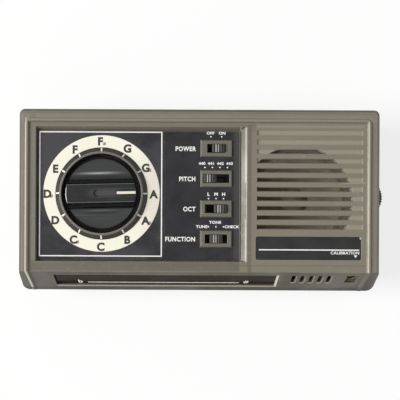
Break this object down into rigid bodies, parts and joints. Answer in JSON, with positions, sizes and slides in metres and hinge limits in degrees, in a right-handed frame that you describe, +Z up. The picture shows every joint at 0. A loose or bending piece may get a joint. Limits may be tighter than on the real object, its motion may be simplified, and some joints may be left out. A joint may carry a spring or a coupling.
{
  "type": "desktop chromatic tuner",
  "caption": "Desktop chromatic tuner with a note dial, slide switches, a loudspeaker grille, a sloping front with a lamp window, and a volume thumbwheel.",
  "frame": {"origin": "middle of the footprint, on the table", "axes": "+X to the player's right, -Y to the player (the sloping front), +Z up"},
  "size_m": [0.1852, 0.0939, 0.041],
  "materials": {
    "upper_shell": "satin",
    "lower_shell": "satin",
    "door": "satin",
    "panel": "matt black",
    "badge": "matt black",
    "window": "smoked gloss",
    "knob": "satin",
    "pointer": "gloss",
    "switch_cap": "satin",
    "steel": "satin",
    "switch_body": "satin",
    "black_plastic": "matt",
    "circuit_board": "satin",
    "lamp": "gloss",
    "chip": "matt",
    "capacitor": "gloss",
    "trimmer": "gloss",
    "rotor": "satin",
    "microphone": "satin",
    "boot": "matt",
    "cone": "matt",
    "dust_cap": "matt",
    "magnet": "matt",
    "basket": "satin",
    "wheel": "satin",
    "pot": "satin",
    "jack": "satin",
    "cell": "gloss",
    "contact": "gloss",
    "foot": "matt"
  },
  "bodies": {
    "case": {"upper_case": "upper_shell", "lower_case": "lower_shell", "rubber_feet": "foot", "case_screws": "steel", "main_board_screws": "steel", "volume_board_screws": "steel", "speaker_screws": "steel", "control_panel": "panel", "badge_plate": "badge", "display_window": "window", "dial_switch": "black_plastic", "dial_nut": "steel", "power_switch": "switch_body", "pitch_switch": "switch_body", "octave_switch": "switch_body", "function_switch": "switch_body", "speaker_basket": "basket", "speaker_cone": "cone", "speaker_dust_cap": "dust_cap", "speaker_magnet": "magnet", "speaker_clips": "steel", "display_board": "circuit_board", "indicator_lamps": "lamp", "lamp_shroud": "black_plastic", "microphone": "microphone", "microphone_boot": "boot", "calibration_trimmer": "trimmer", "main_board": "circuit_board", "tuner_chip": "chip", "capacitors": "capacitor", "volume_pot": "pot", "volume_board": "circuit_board", "input_jack": "jack", "output_jack": "jack", "power_jack": "jack", "batteries": "cell", "battery_contacts_front": "contact", "battery_contacts_rear": "contact"},
    "dial": {"tuning_knob": "knob", "knob_pointer": "pointer", "dial_shaft": "steel"},
    "power_slider": {"power_switch_cap": "switch_cap"},
    "pitch_slider": {"pitch_switch_cap": "switch_cap"},
    "octave_slider": {"octave_switch_cap": "switch_cap"},
    "function_slider": {"function_switch_cap": "switch_cap"},
    "volume": {"volume_wheel": "wheel", "volume_spindle": "rotor"},
    "calibration": {"calibration_rotor": "rotor"},
    "door": {"battery_door": "door"}
  },
  "joints": [
    {"name": "dial_turn", "type": "hinge", "parent": "case", "child": "dial", "pos_m": [-0.049, 0.0031, 0.0315], "axis": [0, 0, 1], "continuous": true},
    {"name": "power_slide", "type": "slide", "parent": "case", "child": "power_slider", "axis": [1, 0, 0], "range_m": [-0.0021, 0]},
    {"name": "pitch_slide", "type": "slide", "parent": "case", "child": "pitch_slider", "axis": [1, 0, 0], "range_m": [0, 0.0063]},
    {"name": "octave_slide", "type": "slide", "parent": "case", "child": "octave_slider", "axis": [1, 0, 0], "range_m": [-0.0042, 0]},
    {"name": "function_slide", "type": "slide", "parent": "case", "child": "function_slider", "axis": [1, 0, 0], "range_m": [-0.0021, 0.0021]},
    {"name": "volume_turn", "type": "hinge", "parent": "case", "child": "volume", "pos_m": [0.08379, 0.0019, 0.0298], "axis": [0, 0, 1], "range_deg": [-140, 140]},
    {"name": "calibration_turn", "type": "hinge", "parent": "case", "child": "calibration", "pos_m": [0.0777, -0.03977, 0.03232], "axis": [0, -0.8529, 0.522], "range_deg": [-120, 120]},
    {"name": "door_slide", "type": "slide", "parent": "case", "child": "door", "axis": [0, 1, 0], "range_m": [0, 0.062]}
  ]
}
